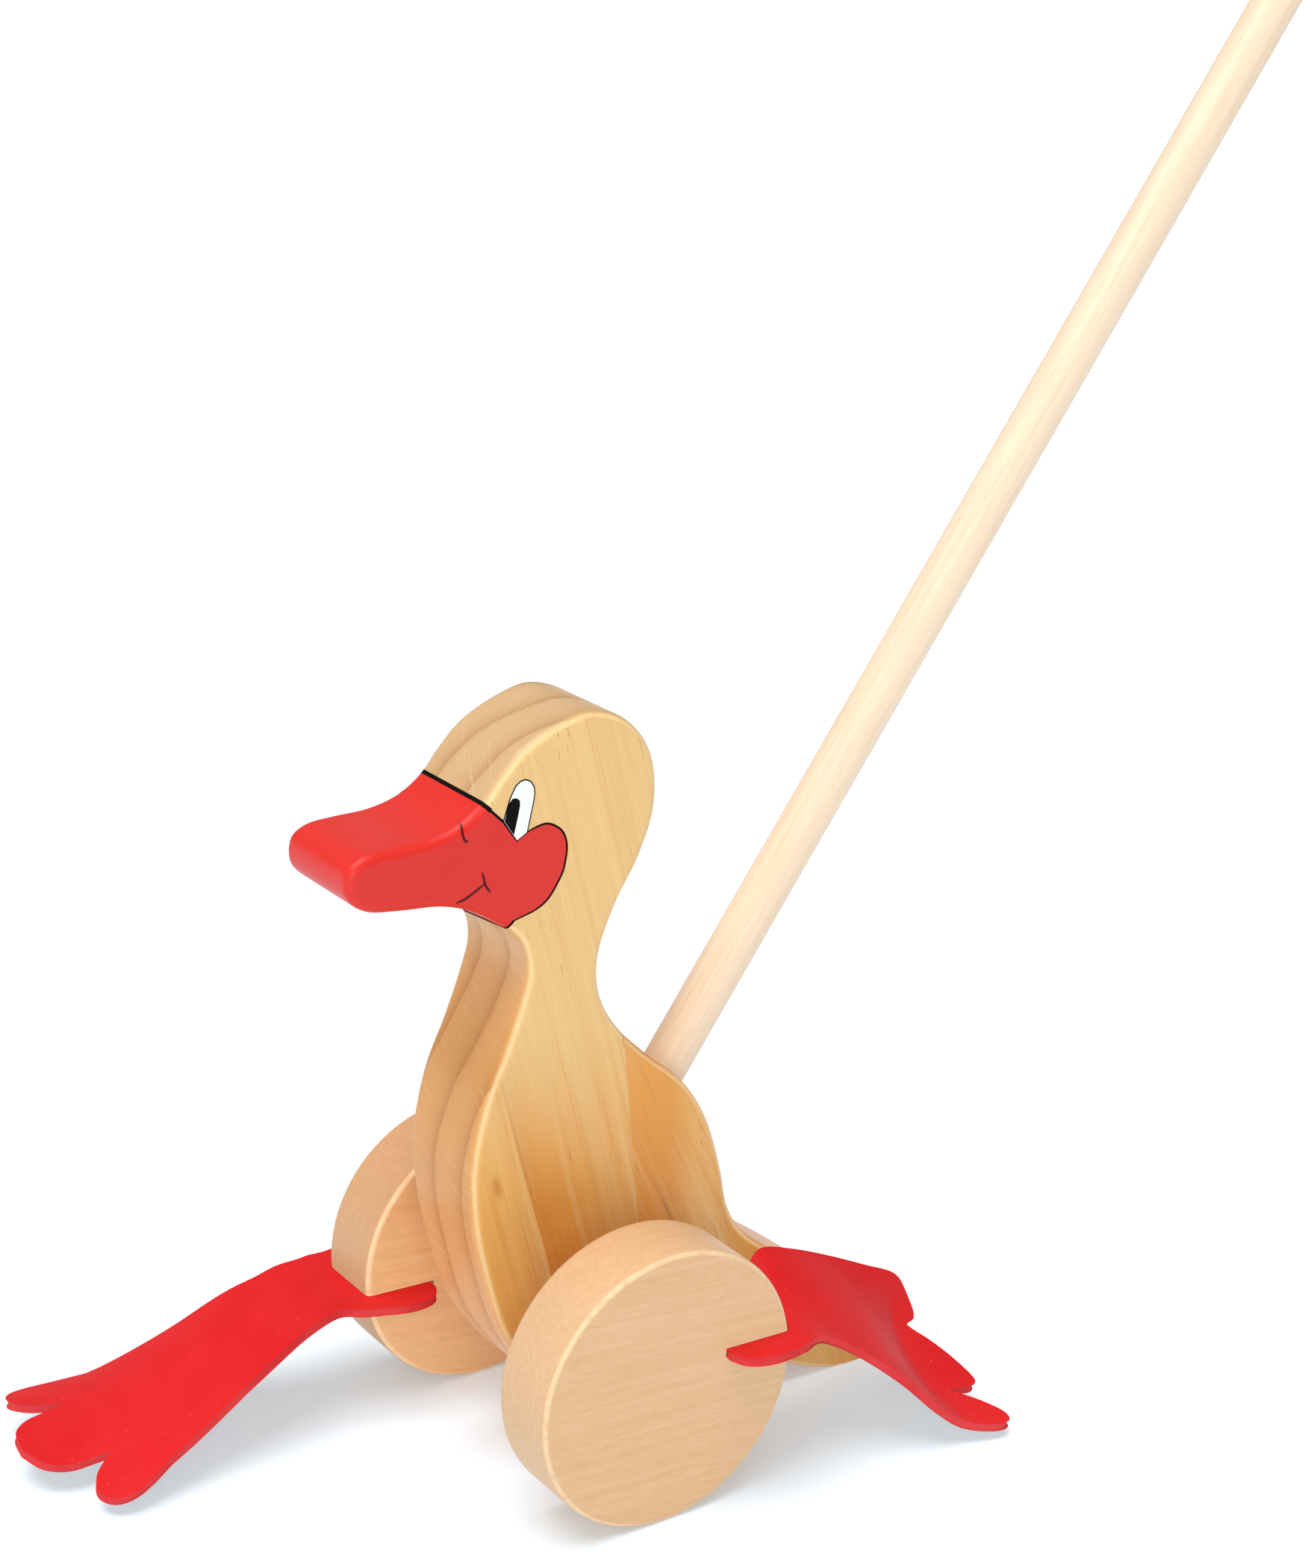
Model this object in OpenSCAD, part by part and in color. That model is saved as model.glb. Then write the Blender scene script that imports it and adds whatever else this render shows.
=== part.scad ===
// Push-along waddling duck: a flat wooden body on two wheels whose rubber feet slap the floor in turn.
// Millimetres. +X is forward, +Y is the duck's left and +Z is up.
// The origin is on the floor, under the middle of the axle.

/* [Body board] */
// Thickness of the board that the duck is sawn from
body_t = 29.5; // [22:0.5:36]
// Radius that rounds the board's edges over
body_edge_r = 2.5; // [1:0.1:4]
// Middle of the head, forward of the axle
head_x = 6; // [-4:0.5:16]
// Middle of the head, above the axle
head_z = 129.5; // [120:0.5:145]
// Reach of the bill's tip from the middle of the head
bill_l = 61.5; // [54:0.5:72]
// Reach of the tail's end behind the axle
tail_l = 97; // [90:0.5:110]
// Glue line between the two staves, level with the axle
glue_x = -18; // [-26:0.5:-14]
// Lean of the glue line from the vertical
glue_tilt = 7; // [4:0.5:9]

/* [Push stick] */
// Diameter of the dowel
stick_d = 12; // [9:0.5:15]
// Length of the dowel
stick_l = 520; // [420:5:620]
// Depth of the dowel's hole in the back
stick_seat = 40; // [30:1:46]
// Angle of the dowel above the floor
stick_angle = 55; // [50:0.5:60]
// Where the dowel's centre line leaves the back, forward of the axle
stick_x = -31.5; // [-34:0.5:-29]
// Where the dowel's centre line leaves the back, above the axle
stick_z = 57.7; // [54:0.1:61]
// Diameter of the ball on the dowel's upper end
ball_d = 34; // [28:0.5:42]
// Depth of the dowel's hole in the ball
ball_seat = 19; // [14:0.5:22]

/* [Wheels and axle] */
// Diameter of a wheel
wheel_d = 72; // [66:0.5:80]
// Thickness of a wheel
wheel_t = 20; // [16:0.5:24]
// Radius that rounds a wheel's edges over
wheel_edge_r = 1.6; // [0.8:0.1:3]
// Gap between the body and a wheel
wheel_gap = 17; // [15:0.5:24]
// Turn of the wheels at rest, which lifts the front foot
wheel_phase = 1.7; // [0:0.1:4]
// Diameter of the axle
axle_d = 10; // [8:0.5:12]
// Depth of the axle's hole in a wheel
axle_seat = 13; // [9:0.5:14]
// Diameter of a spacer
spacer_d = 18; // [15:0.5:20]

/* [Foot slots] */
// Distance of a slot's middle from the axle's centre
slot_offset = 6; // [0:0.5:9]
// Depth of a slot from the wheel's rim
slot_depth = 19; // [15:0.5:22]

/* [Rubber feet] */
// Thickness of the sheet
foot_t = 2.2; // [1.6:0.1:3]
// Length of a foot from its slot's end to its middle toe
foot_l = 112; // [104:0.5:120]
// Width over the two lobes beside the wheel
lobe_w = 36.6; // [30:0.2:40]
// Width of the neck outside the rim
neck_w = 27; // [22:0.5:30]
// Width where the toes part
web_w = 54; // [48:0.5:55]
// Depth of the cut between two toes, from the middle toe's tip
notch_l = 18; // [15:0.5:22]
// How far the outer toes end behind the middle toe
toe_step = 8.5; // [5:0.5:12]
// Turn of a foot away from the body
foot_yaw = 3.5; // [3:0.1:5]

/* [Fits] */
// Clearance round the axle in the body
run_gap = 0.08; // [0.05:0.01:0.1]
// Clearance of a glued dowel or a pushed-in sheet
glue_gap = 0.05; // [0.03:0.01:0.1]
// End play between a spacer and the body
end_play = 0.3; // [0.2:0.05:0.5]
// Chamfer on the ends of dowels and spacers
chamfer = 0.8; // [0.4:0.1:1.2]

/* [Hidden] */
$fn = 96;
axle_z = wheel_d / 2;
wheel_y = body_t / 2 + wheel_gap + wheel_t / 2;
slot_end = wheel_d / 2 - slot_depth;
stick_dir = [-cos(stick_angle), 0, sin(stick_angle)];
axle_half = wheel_y - wheel_t / 2 + axle_seat;
// More than the object's largest size, for cuts that run out of it
far = 4 * (head_z + wheel_d);
// Steps from one outline point to the next, and from an edge's face to its side
spline_steps = 3;
edge_steps = 3;
// The foot bends from here on, past the rim, and its toes start where the sheet's rows begin to fan out
fold_s = 1.32 * slot_depth;
hang_l = foot_l - fold_s;
toe_zone = toe_step + 1.08 * notch_l;
toe_rows = 3;
// Share of the neck's slope with which the web goes on widening along the toes
toe_spread = 0.2;
// How each foot hangs, in degrees against the share of its length past the fold:
// the rise, the turn and the twist of its middle line, and the curl of its inner and its outer edge
right_rise = [[0, 0], [0.11, -15], [0.25, -26], [0.4, -28], [0.56, -23], [0.74, -14], [1, 4]];
right_turn = [[0, 0], [0.34, 1], [0.67, 2], [1, 13]];
right_twist = [[0, 0], [0.17, -2], [0.39, -3], [0.67, -1], [1, 10]];
right_inner_curl = [[0, 0], [0.34, -6], [0.67, -8], [1, -7]];
right_outer_curl = [[0, 0], [0.34, -12], [0.67, -18], [1, -15]];
left_rise = [[0, 0], [0.11, -5], [0.25, -33], [0.4, -54], [0.56, -52], [0.74, -27], [1, 23]];
left_turn = [[0, 0], [0.34, -28], [0.67, -3], [1, -8]];
left_twist = [[0, 0], [0.17, 27], [0.39, 28], [0.67, 11], [1, -6]];
left_inner_curl = [[0, 0], [0.34, 33], [0.67, 75], [1, 110]];
left_outer_curl = [[0, 0], [0.34, 2], [0.67, 16], [1, -4]];

wood_side = [0.93, 0.77, 0.50];
wood_rear = [0.88, 0.66, 0.38];
wood_pale = [0.95, 0.87, 0.74];
wood_wheel = [0.95, 0.80, 0.62];
rubber_red = [0.90, 0.17, 0.18];

// Outline of the duck in X and Z from the axle, clockwise from the top of the head
head_front = [
    [-3, 30.8], [7, 28.6], [16, 24], [22.2, 18], [26.8, 12.4], [33, 8.2]
];
// The bill's points are given back from its tip
bill = [
    [-20.5, 6.1], [-11.5, 5.7], [-4.5, 5], [-0.3, 2], [-0.3, -4], [-5.5, -8.4], [-14.5, -9.8], [-24.5, -10.7]
];
chin = [[29, -13.2], [21.3, -17.6], [15.2, -23.3]];
breast = [
    [19.2, 98.8], [20.9, 91], [25.2, 79.2], [30.7, 66.1], [33.8, 50.5], [33, 35.5], [29.6, 20.5], [24.8, 5.5],
    [18.3, -5.5], [9.6, -15.4], [-2.5, -23.7], [-20, -28], [-40, -27.6], [-60, -29]
];
// The tail's points are given from its end and from the floor, which cuts it flat underneath
tail = [[21.5, 1], [8.5, -2], [0.5, 2], [0.5, 11], [9.5, 19.6], [22.5, 29.8]];
back = [
    [-59, 4.8], [-48.6, 13.3], [-43.5, 22], [-40.7, 33.5], [-35.7, 47.8], [-27.7, 59.8], [-16.1, 69.8],
    [-7.1, 79], [-2, 88.5], [-1.4, 99]
];
nape = [[-12, -18.2], [-18, -7.8], [-22, 4.5], [-20.6, 17.6], [-13.4, 26.8]];

function moved(points, by) = [for (p = points) p + by];

outline_knots = concat(
    moved(head_front, [head_x, head_z]),
    moved(bill, [head_x + bill_l, head_z]),
    moved(chin, [head_x, head_z]),
    breast,
    moved(tail, [-tail_l, -axle_z]),
    back,
    moved(nape, [head_x, head_z])
);

// Smooth curves through a list of points
function cubic(a, b, c, d, t) =
    b + 0.5 * t * (c - a + t * (2 * a - 5 * b + 4 * c - d + t * (3 * (b - c) + d - a)));
function closed_curve(k, n) = [
    for (i = [0:len(k) - 1], j = [0:n - 1])
        cubic(k[(i + len(k) - 1) % len(k)], k[i], k[(i + 1) % len(k)], k[(i + 2) % len(k)], j / n)
];
function open_curve(k, n) = let (
    e = concat([2 * k[0] - k[1]], k, [2 * k[len(k) - 1] - k[len(k) - 2]])
) concat(
    [for (i = [1:len(k) - 1], j = [0:n - 1]) cubic(e[i - 1], e[i], e[i + 1], e[i + 2], j / n)],
    [k[len(k) - 1]]
);

// Two triangles for each cell between one row of points and the next
function cell(a, b, c, d, flip) = flip ? [[a, c, d], [a, b, c]] : [[a, d, c], [a, c, b]];

// Cuts a flat clockwise outline into triangles, one ear after the other
function turn(a, b, c) = cross(b - a, c - b);
function covers(a, b, c, p) = turn(a, b, p) <= 0 && turn(b, c, p) <= 0 && turn(c, a, p) <= 0;
function corner(ids, k) = let (n = len(ids)) [ids[(k + n - 1) % n], ids[k], ids[(k + 1) % n]];
function is_ear(points, ids, k) = let (
    t = corner(ids, k),
    a = points[t[0]],
    b = points[t[1]],
    c = points[t[2]]
) turn(a, b, c) < 0 && len([for (i = ids) if (len(search(i, t)) == 0 && covers(a, b, c, points[i])) i]) == 0;
function first_ear(points, ids, k = 0) =
    k == len(ids) - 1 || is_ear(points, ids, k) ? k : first_ear(points, ids, k + 1);
function ears(points, ids) = len(ids) == 3 ? [ids] : let (k = first_ear(points, ids))
    concat([corner(ids, k)], ears(points, [for (i = [0:len(ids) - 1]) if (i != k) ids[i]]));

// The glue line parts the outline into two: the rear stave's points run from the belly round the tail
outline = closed_curve(outline_knots, spline_steps);
glue_dir = [sin(glue_tilt), cos(glue_tilt)];
neck_z = breast[1][1];
function ahead_of_glue(p) = p[0] - glue_x - p[1] * tan(glue_tilt);
behind = [for (i = [0:len(outline) - 1]) if (ahead_of_glue(outline[i]) < 0 && outline[i][1] < neck_z) i];
rear_first = behind[0];
rear_last = behind[len(behind) - 1];

// Each point of a stave's edge comes with the direction in which it is drawn in where the edge is rounded
function square_to(t) = [-t[1], t[0]] / norm(t);
function edge_point(i) = let (n = len(outline), k = i % n)
    [outline[k], square_to(outline[(k + 1) % n] - outline[(k + n - 1) % n])];
function glue_point(i, up) = let (
    p = outline[i],
    q = outline[i + 1],
    share = ahead_of_glue(p) / (ahead_of_glue(p) - ahead_of_glue(q))
) [p + share * (q - p), up * glue_dir / (up * glue_dir * square_to(q - p))];
belly_point = glue_point(rear_first - 1, -1);
back_point = glue_point(rear_last, 1);

// A stave with its edges rounded over, apart from the glued one, and cut flat by the floor
module stave(edge) {
    n = len(edge);
    quarter = [
        for (i = [0:edge_steps])
            let (a = 90 * i / edge_steps)
                [body_edge_r * (1 - cos(a)), body_t / 2 - body_edge_r * (1 - sin(a))]
    ];
    rings = concat([for (i = [edge_steps:-1:0]) [quarter[i][0], -quarter[i][1]]], quarter);
    points = [
        for (r = rings, e = edge)
            let (p = e[0] - r[0] * e[1]) [p[0], r[1], p[1]]
    ];
    last = len(rings) - 1;
    walls = [
        for (k = [0:last - 1], i = [0:n - 1])
            each cell(k * n + i, k * n + (i + 1) % n, (k + 1) * n + (i + 1) % n, (k + 1) * n + i, false)
    ];
    face = ears([for (e = edge) e[0] - body_edge_r * e[1]], [for (i = [0:n - 1]) i]);
    caps = concat(face, [for (t = face) last * n * [1, 1, 1] + [t[2], t[1], t[0]]]);
    difference() {
        translate([0, 0, axle_z]) polyhedron(points, concat(walls, caps), convexity = 8);
        translate([-far, -far, -far]) cube([2 * far, 2 * far, far]);
        board_holes();
    }
}

module stick_frame() {
    translate([stick_x, 0, stick_z + axle_z] - stick_seat * stick_dir) rotate([0, stick_angle - 90, 0]) children();
}

module along_y() {
    translate([0, 0, axle_z]) rotate([-90, 0, 0]) children();
}

module board_holes() {
    along_y() cylinder(d = axle_d + 2 * run_gap, h = 2 * body_t, center = true);
    stick_frame() cylinder(d = stick_d + 2 * glue_gap, h = 2 * stick_seat);
}

// A dowel or a tube with chamfered ends, standing on the floor plane
module dowel(d, l, bore = 0) {
    rotate_extrude()
        polygon([
            [bore / 2, 0], [d / 2 - chamfer, 0], [d / 2, chamfer],
            [d / 2, l - chamfer], [d / 2 - chamfer, l], [bore / 2, l]
        ]);
}

module body_front_stave() {
    color(wood_side) stave(concat(
        [back_point],
        [for (i = [rear_last + 1:len(outline) + rear_first - 1]) edge_point(i)],
        [belly_point]
    ));
}

module body_rear_stave() {
    color(wood_rear) stave(concat(
        [belly_point],
        [for (i = [rear_first:rear_last]) edge_point(i)],
        [back_point]
    ));
}

module push_stick() {
    color(wood_pale) stick_frame() dowel(stick_d, stick_l);
}

module handle_ball() {
    color(wood_pale) stick_frame() translate([0, 0, stick_l - ball_seat]) difference() {
        translate([0, 0, ball_d / 2]) sphere(d = ball_d);
        translate([0, 0, -far]) cylinder(d = stick_d + 2 * glue_gap, h = far + ball_seat);
    }
}

module axle() {
    color(wood_pale) along_y() translate([0, 0, -axle_half]) dowel(axle_d, 2 * axle_half);
}

// The frame of the wheels: the axle's centre, with the wheels' turn at rest
module wheel_frame(half_turn = 0) {
    translate([0, 0, axle_z]) rotate([0, half_turn - wheel_phase, 0]) children();
}

// A disc with rounded edges, a slot that opens forward and a blind hole for the axle on its inner face
module wheel(side) {
    edge = [
        for (i = [0:edge_steps])
            let (a = 90 * i / edge_steps)
                [wheel_d / 2 - wheel_edge_r * (1 - cos(a)), wheel_t / 2 - wheel_edge_r * (1 - sin(a))]
    ];
    lower = [for (i = [edge_steps:-1:0]) [edge[i][0], -edge[i][1]]];
    slot_t = foot_t + 2 * glue_gap;
    difference() {
        translate([0, side * wheel_y, 0]) rotate([90, 0, 0]) rotate_extrude()
            polygon(concat([[0, -wheel_t / 2]], lower, edge, [[0, wheel_t / 2]]));
        translate([slot_end - 1, side * wheel_y - wheel_t, -slot_offset - slot_t / 2])
            cube([wheel_d, 2 * wheel_t, slot_t]);
        rotate([90, 0, 0]) cylinder(d = axle_d + 2 * glue_gap, h = 2 * axle_half, center = true);
    }
}

module wheel_left() {
    color(wood_wheel) wheel_frame(180) wheel(1);
}

module wheel_right() {
    color(wood_wheel) wheel_frame() wheel(-1);
}

module spacer(side) {
    length = wheel_gap - end_play;
    along_y() mirror([0, 0, side < 0 ? 1 : 0]) translate([0, 0, body_t / 2 + end_play])
        dowel(spacer_d, length, axle_d + 2 * glue_gap);
}

module spacer_left() {
    color(wood_pale) spacer(1);
}

module spacer_right() {
    color(wood_pale) spacer(-1);
}

// Half of a foot's outline in the flat sheet: its side as length and half width, from the slot's end
function web_half(k) = (neck_w + k * (web_w - neck_w)) / 2;
side_line = open_curve([
    [0, 0.35 * lobe_w], [0.1 * slot_depth, 0.445 * lobe_w], [0.32 * slot_depth, 0.495 * lobe_w],
    [0.58 * slot_depth, 0.5 * lobe_w], [0.87 * slot_depth, 0.467 * lobe_w],
    [1.13 * slot_depth, (lobe_w + neck_w) / 4], [fold_s + 0.02 * hang_l, neck_w / 2],
    [fold_s + 0.12 * hang_l, web_half(0.16)], [fold_s + 0.26 * hang_l, web_half(0.4)],
    [fold_s + 0.48 * hang_l, web_half(0.66)], [foot_l - toe_zone, web_half(0.92)]
], 2);
// Its toes, as share of the half width and length, from the middle toe's tip to the side
side_l = foot_l - toe_step;
toe_line = open_curve([
    [0, foot_l], [0.2, foot_l - 0.11 * notch_l], [0.33, foot_l - 0.39 * notch_l],
    [0.385, foot_l - 0.72 * notch_l], [0.445, foot_l - notch_l], [0.51, foot_l - 0.83 * notch_l],
    [0.6, side_l - 0.12 * notch_l], [0.74, side_l], [0.89, side_l - 0.13 * notch_l],
    [0.975, side_l - 0.42 * notch_l], [1, side_l - 0.78 * notch_l]
], 2);
columns = concat(
    [for (i = [len(toe_line) - 1:-1:1]) [-toe_line[i][0], toe_line[i][1]]],
    toe_line
);

// Place in the flat sheet of one row and column
function flat_point(row, column) = let (
    n = len(side_line) - 1,
    t = column[0],
    start = side_line[n],
    s = row <= n ? side_line[row][0] : start[0] + (column[1] - start[0]) * (row - n) / toe_rows,
    w = row <= n ? side_line[row][1] : start[1] + toe_spread * (s - start[0])
) [s, t * w];

// The middle line of the hanging sheet past the fold, one step for each millimetre
function heading(d, hang) = let (a = lookup(d / hang_l, hang[0]), b = lookup(d / hang_l, hang[1]))
    [cos(a) * cos(b), cos(a) * sin(b), sin(a)];
function middle_line(hang) = [
    for (i = 0, p = [0, 0, 0]; i <= foot_l; p = p + heading(i + 0.5, hang), i = i + 1) p
];

// A point of the hanging sheet, lifted off its middle, forward of and across from the slot's end
function hung_point(p, lift, side, hang, middle) = let (
    d = max(p[0] - fold_s, 0),
    i = floor(d),
    a = lookup(d / hang_l, hang[0]),
    b = lookup(d / hang_l, hang[1]),
    curl = lookup(d / hang_l, side * p[1] < 0 ? hang[3] : hang[4]) * 2 * p[1] / web_w,
    lean = lookup(d / hang_l, hang[2]) - curl / 2,
    tip = lean - curl / 2,
    across = [-sin(b), cos(b), 0],
    up = [-sin(a) * cos(b), -sin(a) * sin(b), cos(a)]
) [min(p[0], fold_s), 0, 0] + middle[i] + (d - i) * (middle[i + 1] - middle[i])
    + (p[1] * cos(lean) + lift * sin(tip)) * across + (lift * cos(tip) - p[1] * sin(lean)) * up;

module foot(side, hang) {
    middle = middle_line(hang);
    rows = len(side_line) + toe_rows;
    wide = len(columns);
    pivot = slot_depth / 2;
    // The right foot points forward from its slot and the left foot backward
    ahead = -side;
    points = [
        for (lift = [-foot_t / 2, foot_t / 2], r = [0:rows - 1], c = [0:wide - 1])
            let (
                q = hung_point(flat_point(r, columns[c]), lift, side, hang, middle),
                reach = q[0] - pivot,
                x = pivot + reach * cos(foot_yaw) - side * q[1] * sin(foot_yaw),
                y = side * reach * sin(foot_yaw) + q[1] * cos(foot_yaw)
            )
                [ahead * (slot_end + x), side * wheel_y + y, side * slot_offset + q[2]]
    ];
    upper = rows * wide;
    flip = ahead < 0;
    sheets = [
        for (r = [0:rows - 2], c = [0:wide - 2])
            let (a = r * wide + c, b = a + wide)
                each concat(
                    cell(a, a + 1, b + 1, b, flip),
                    cell(upper + a, upper + a + 1, upper + b + 1, upper + b, !flip)
                )
    ];
    ends = [
        for (c = [0:wide - 2])
            let (a = c, b = (rows - 1) * wide + c)
                each concat(
                    cell(a, a + 1, upper + a + 1, upper + a, !flip),
                    cell(b, b + 1, upper + b + 1, upper + b, flip)
                )
    ];
    sides = [
        for (r = [0:rows - 2])
            let (a = r * wide, b = a + wide - 1)
                each concat(
                    cell(a, a + wide, upper + a + wide, upper + a, flip),
                    cell(b, b + wide, upper + b + wide, upper + b, !flip)
                )
    ];
    wheel_frame() polyhedron(points, concat(sheets, ends, sides), convexity = 6);
}

module foot_left() {
    color(rubber_red) foot(1, [left_rise, left_turn, left_twist, left_inner_curl, left_outer_curl]);
}

module foot_right() {
    color(rubber_red) foot(-1, [right_rise, right_turn, right_twist, right_inner_curl, right_outer_curl]);
}

body_front_stave();
body_rear_stave();
push_stick();
handle_ball();
axle();
wheel_left();
wheel_right();
spacer_left();
spacer_right();
foot_left();
foot_right();
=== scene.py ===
"""Looks of the push-along duck: its pieces, materials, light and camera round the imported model."""

import math

import bmesh
import bpy
from mathutils import Matrix, Vector


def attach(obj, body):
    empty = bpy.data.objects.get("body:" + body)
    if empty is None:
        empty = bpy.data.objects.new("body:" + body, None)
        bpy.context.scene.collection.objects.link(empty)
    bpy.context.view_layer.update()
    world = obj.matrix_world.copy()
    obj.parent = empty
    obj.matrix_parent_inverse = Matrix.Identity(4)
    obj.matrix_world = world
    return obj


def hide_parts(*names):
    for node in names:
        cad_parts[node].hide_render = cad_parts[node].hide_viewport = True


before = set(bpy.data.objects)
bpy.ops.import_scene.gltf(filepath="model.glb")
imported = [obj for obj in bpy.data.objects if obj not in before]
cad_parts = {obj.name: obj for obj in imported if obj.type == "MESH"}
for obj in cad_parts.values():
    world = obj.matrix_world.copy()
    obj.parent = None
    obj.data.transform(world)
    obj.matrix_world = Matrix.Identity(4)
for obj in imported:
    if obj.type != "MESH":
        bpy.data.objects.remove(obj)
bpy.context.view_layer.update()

MM = 0.001

# Sizes in millimetres, as in the part's source
BODY_T = 29.5
BODY_EDGE_R = 2.5
HEAD = Vector((6.0, 129.5))
BILL_L = 61.5
TAIL_L = 97.0
GLUE_X = -18.0
GLUE_TILT = math.radians(7.0)
STICK_D = 12.0
STICK_L = 520.0
STICK_SEAT = 40.0
STICK_ANGLE = math.radians(55.0)
STICK_FOOT = Vector((-31.5, 0.0, 57.7))
BALL_D = 34.0
BALL_SEAT = 19.0
WHEEL_D = 72.0
WHEEL_T = 20.0
WHEEL_EDGE_R = 1.6
WHEEL_GAP = 17.0
WHEEL_PHASE = math.radians(1.7)
AXLE_D = 10.0
AXLE_SEAT = 13.0
SPACER_D = 18.0
SLOT_OFFSET = 6.0
SLOT_DEPTH = 19.0
FOOT_T = 2.2
FOOT_L = 112.0
LOBE_W = 36.6
NECK_W = 27.0
WEB_W = 54.0
NOTCH_L = 18.0
TOE_STEP = 8.5
FOOT_YAW = math.radians(3.5)
GLUE_GAP = 0.05
END_PLAY = 0.3
CHAMFER = 0.8

AXLE_Z = WHEEL_D / 2
AXLE_UP = Vector((0, AXLE_Z))
HALF_T = BODY_T / 2
WHEEL_Y = HALF_T + WHEEL_GAP + WHEEL_T / 2
SLOT_END = WHEEL_D / 2 - SLOT_DEPTH
FOLD_S = 1.32 * SLOT_DEPTH
HANG_L = FOOT_L - FOLD_S
TOE_ZONE = TOE_STEP + 1.08 * NOTCH_L
TOE_SPREAD = 0.2

# Outline of the duck in X and Z from the axle, from the top of the head forward and round
HEAD_FRONT = [(-3, 30.8), (7, 28.6), (16, 24), (22.2, 18), (26.8, 12.4), (33, 8.2)]
BILL = [
    (-20.5, 6.1), (-11.5, 5.7), (-4.5, 5), (-0.3, 2),
    (-0.3, -4), (-5.5, -8.4), (-14.5, -9.8), (-24.5, -10.7),
]
CHIN = [(29, -13.2), (21.3, -17.6), (15.2, -23.3)]
BREAST = [
    (19.2, 98.8), (20.9, 91), (25.2, 79.2), (30.7, 66.1), (33.8, 50.5), (33, 35.5), (29.6, 20.5),
    (24.8, 5.5), (18.3, -5.5), (9.6, -15.4), (-2.5, -23.7), (-20, -28), (-40, -27.6), (-60, -29),
]
TAIL = [(21.5, 1), (8.5, -2), (0.5, 2), (0.5, 11), (9.5, 19.6), (22.5, 29.8)]
BACK = [
    (-59, 4.8), (-48.6, 13.3), (-43.5, 22), (-40.7, 33.5), (-35.7, 47.8),
    (-27.7, 59.8), (-16.1, 69.8), (-7.1, 79), (-2, 88.5), (-1.4, 99),
]
NAPE = [(-12, -18.2), (-18, -7.8), (-22, 4.5), (-20.6, 17.6), (-13.4, 26.8)]


def moved(points, by=(0.0, 0.0)):
    return [Vector(p) + Vector(by) for p in points]


KNOTS = (
    moved(HEAD_FRONT, HEAD)
    + moved(BILL, HEAD + Vector((BILL_L, 0)))
    + moved(CHIN, HEAD)
    + moved(BREAST)
    + moved(TAIL, (-TAIL_L, -AXLE_Z))
    + moved(BACK)
    + moved(NAPE, HEAD)
)
ROUND = len(KNOTS)

# Stretches of the outline, counted in knots
BROW_SPAN = (3, 8)
THROAT_SPAN = (12, 18)
BELLY_SPAN = (25, 30)
BACK_SPAN = (39, 46)
HEAD_SPAN = (2, 18)
PAINT_SPAN = (2.5, 20)
SEARCH_STEPS = 2000
HALVINGS = 50
TANGENT_STEP = 0.02


def cubic(a, b, c, d, t):
    """A smooth curve's point between b and c."""
    return b + 0.5 * t * (c - a + t * (2 * a - 5 * b + 4 * c - d + t * (3 * (b - c) + d - a)))


def open_curve(points, steps):
    """A smooth line through points of any dimension."""
    k = [Vector(p) for p in points]
    ends = [2 * k[0] - k[1]] + k + [2 * k[-1] - k[-2]]
    line = []
    for i in range(1, len(k)):
        for j in range(steps):
            line.append(cubic(ends[i - 1], ends[i], ends[i + 1], ends[i + 2], j / steps))
    return line + [k[-1]]


def outline(t):
    """The duck's outline at t, counted in knots from the top of the head."""
    i = math.floor(t)
    a, b, c, d = [KNOTS[(i + k) % ROUND] for k in (-1, 0, 1, 2)]
    return cubic(a, b, c, d, t - i)


def outward(t):
    """The outline's outward direction at t."""
    along = outline(t + TANGENT_STEP) - outline(t - TANGENT_STEP)
    return Vector((-along[1], along[0])).normalized()


def stretch(first, last, steps):
    """Places along the outline between two knots, with so many steps to a knot."""
    return [i / steps for i in range(round(first * steps), round(last * steps))]


def ahead_of_glue(p):
    return p[0] - GLUE_X - p[1] * math.tan(GLUE_TILT)


def bisect(f, low, high):
    """Where f changes its sign between low and high."""
    for _ in range(HALVINGS):
        mid = (low + high) / 2
        if (f(low) < 0) == (f(mid) < 0):
            low = mid
        else:
            high = mid
    return (low + high) / 2


def nearest_t(point, low, high):
    """Where the outline comes closest to a point given in X and Z from the axle."""
    steps = [low + (high - low) * i / SEARCH_STEPS for i in range(SEARCH_STEPS + 1)]
    return min(steps, key=lambda t: (outline(t) - Vector(point)).length)


BELLY_T = bisect(lambda t: ahead_of_glue(outline(t)), *BELLY_SPAN)
BACK_T = bisect(lambda t: ahead_of_glue(outline(t)), *BACK_SPAN)

SHARP_ANGLE = 35.0
SHEET_SHARP_ANGLE = 60.0
FLAT_WEIGHT = 80


def join(name, verts, faces, materials, indices, body, nodes=(), sharp=SHARP_ANGLE):
    """A closed mesh in the part's frame, given in millimetres, with even shading."""
    mesh = bpy.data.meshes.new(name)
    mesh.from_pydata([Vector(v) * MM for v in verts], [], faces)
    for m in materials:
        mesh.materials.append(m)
    mesh.polygons.foreach_set("material_index", indices)
    bm = bmesh.new()
    bm.from_mesh(mesh)
    bmesh.ops.recalc_face_normals(bm, faces=bm.faces)
    bm.to_mesh(mesh)
    bm.free()
    mesh.polygons.foreach_set("use_smooth", [True] * len(mesh.polygons))
    mesh.set_sharp_from_angle(angle=math.radians(sharp))
    obj = bpy.data.objects.new(name, mesh)
    bpy.context.scene.collection.objects.link(obj)
    normals = obj.modifiers.new("even_normals", "WEIGHTED_NORMAL")
    normals.keep_sharp = True
    normals.weight = FLAT_WEIGHT
    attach(obj, body)
    if nodes:
        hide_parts(*nodes)
    return obj


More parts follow.
